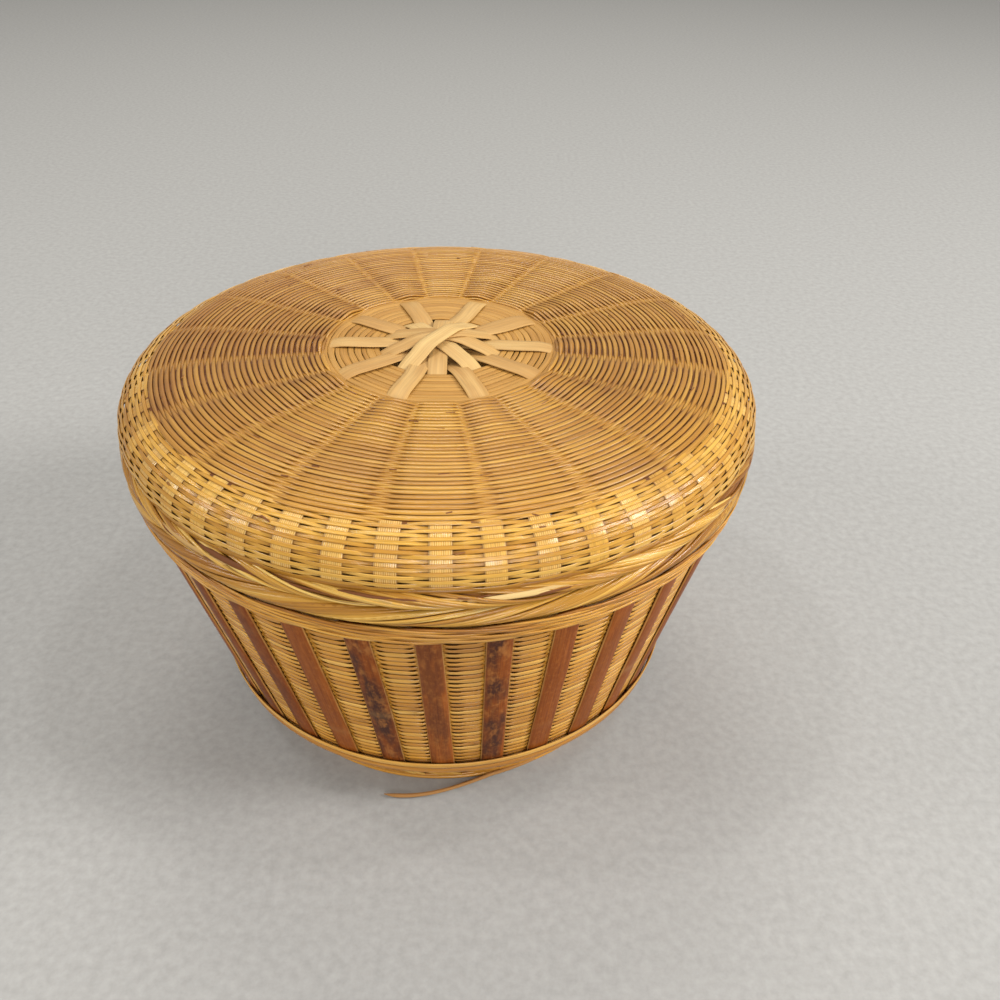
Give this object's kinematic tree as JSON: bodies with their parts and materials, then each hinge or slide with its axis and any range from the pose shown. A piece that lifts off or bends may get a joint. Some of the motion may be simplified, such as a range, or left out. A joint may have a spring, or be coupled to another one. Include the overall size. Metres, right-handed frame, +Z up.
{
  "type": "lidded bamboo basket",
  "caption": "Round woven bamboo basket with dark upright slats on a twisted foot, and a loose flat-topped woven lid that lifts off.",
  "frame": {"origin": "middle of the foot, on the floor that the basket stands on", "axes": "+Z up along the basket's own axis, -Y to the side that the picture shows, +X to its right"},
  "size_m": [0.2566, 0.2566, 0.1656],
  "materials": {
    "straw_weft": "satin",
    "pale_strip": "satin",
    "hub_weft": "satin",
    "dark_slat": "semi-gloss"
  },
  "bodies": {
    "base": {"base_wall_weave": "straw_weft", "floor_weave": "straw_weft", "foot_ring": "straw_weft", "floor_strip_1": "pale_strip", "floor_strip_2": "pale_strip", "floor_strip_3": "pale_strip", "floor_strip_4": "pale_strip", "floor_strip_5": "pale_strip", "floor_strip_6": "pale_strip", "dark_slat_01": "dark_slat", "dark_slat_02": "dark_slat", "dark_slat_03": "dark_slat", "dark_slat_04": "dark_slat", "dark_slat_05": "dark_slat", "dark_slat_06": "dark_slat", "dark_slat_07": "dark_slat", "dark_slat_08": "dark_slat", "dark_slat_09": "dark_slat", "dark_slat_10": "dark_slat", "dark_slat_11": "dark_slat", "dark_slat_12": "dark_slat", "dark_slat_13": "dark_slat", "dark_slat_14": "dark_slat", "dark_slat_15": "dark_slat", "dark_slat_16": "dark_slat", "dark_slat_17": "dark_slat", "dark_slat_18": "dark_slat", "dark_slat_19": "dark_slat", "dark_slat_20": "dark_slat", "dark_slat_21": "dark_slat", "dark_slat_22": "dark_slat", "dark_slat_23": "dark_slat", "dark_slat_24": "dark_slat", "dark_slat_25": "dark_slat", "dark_slat_26": "dark_slat", "dark_slat_27": "dark_slat", "dark_slat_28": "dark_slat", "dark_slat_29": "dark_slat", "dark_slat_30": "dark_slat", "dark_slat_31": "dark_slat", "dark_slat_32": "dark_slat", "lower_hoop": "pale_strip", "upper_band": "straw_weft", "base_rim_border": "straw_weft", "inner_collar": "pale_strip", "loose_strand": "pale_strip"},
    "lid": {"lid_weave": "straw_weft", "lid_border": "straw_weft", "lid_hub_weave": "hub_weft", "lid_long_strip_1": "pale_strip", "lid_long_strip_2": "pale_strip", "lid_long_strip_3": "pale_strip", "lid_long_strip_4": "pale_strip", "lid_long_strip_5": "pale_strip", "lid_short_strip_1": "pale_strip", "lid_short_strip_2": "pale_strip", "lid_short_strip_3": "pale_strip", "lid_short_strip_4": "pale_strip", "lid_short_strip_5": "pale_strip"}
  },
  "joints": [
    {"name": "lid_lift", "type": "slide", "parent": "base", "child": "lid", "axis": [0, 0, 1], "range_m": [0, 0.18]}
  ]
}
